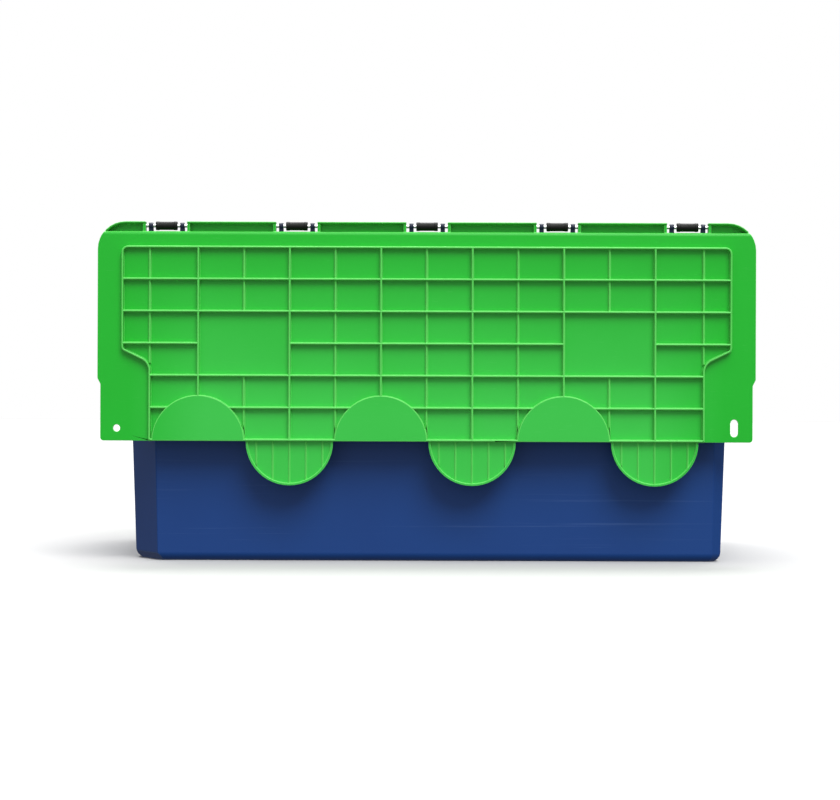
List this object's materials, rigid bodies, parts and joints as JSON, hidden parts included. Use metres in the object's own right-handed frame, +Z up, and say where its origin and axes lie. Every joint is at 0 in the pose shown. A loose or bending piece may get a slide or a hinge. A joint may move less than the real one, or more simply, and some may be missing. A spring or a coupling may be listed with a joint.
{
  "type": "attached lid tote",
  "caption": "Moulded plastic storage tote whose two ribbed lids hinge on the long sides, interlock when closed and hang down outside when open.",
  "frame": {"origin": "on the ground, under the middle of the tote", "axes": "+X along the long sides, -Y towards the side whose lid is lid_front, +Z up"},
  "size_m": [0.6, 0.4138, 0.309],
  "materials": {
    "tote_plastic": "blue moulded polypropylene, semi-matt",
    "lid_plastic": "green moulded polypropylene, satin",
    "pin_steel": "bright drawn wire",
    "sleeve_plastic": "black moulded nylon"
  },
  "bodies": {
    "tote": {"tote_body": "tote_plastic", "hinge_pin_front_1": "pin_steel", "hinge_pin_front_2": "pin_steel", "hinge_pin_front_3": "pin_steel", "hinge_pin_front_4": "pin_steel", "hinge_pin_front_5": "pin_steel", "hinge_pin_rear_1": "pin_steel", "hinge_pin_rear_2": "pin_steel", "hinge_pin_rear_3": "pin_steel", "hinge_pin_rear_4": "pin_steel", "hinge_pin_rear_5": "pin_steel", "hinge_sleeve_front_1": "sleeve_plastic", "hinge_sleeve_front_2": "sleeve_plastic", "hinge_sleeve_front_3": "sleeve_plastic", "hinge_sleeve_front_4": "sleeve_plastic", "hinge_sleeve_front_5": "sleeve_plastic", "hinge_sleeve_rear_1": "sleeve_plastic", "hinge_sleeve_rear_2": "sleeve_plastic", "hinge_sleeve_rear_3": "sleeve_plastic", "hinge_sleeve_rear_4": "sleeve_plastic", "hinge_sleeve_rear_5": "sleeve_plastic"},
    "front_lid": {"lid_front": "lid_plastic"},
    "rear_lid": {"lid_rear": "lid_plastic"}
  },
  "joints": [
    {"name": "front_lid_hinge", "type": "hinge", "parent": "tote", "child": "front_lid", "pos_m": [0, -0.1954, 0.305], "axis": [-1, 0, 0], "range_deg": [0, 270]},
    {"name": "rear_lid_hinge", "type": "hinge", "parent": "tote", "child": "rear_lid", "pos_m": [0, 0.1954, 0.305], "axis": [1, 0, 0], "range_deg": [0, 270]}
  ]
}
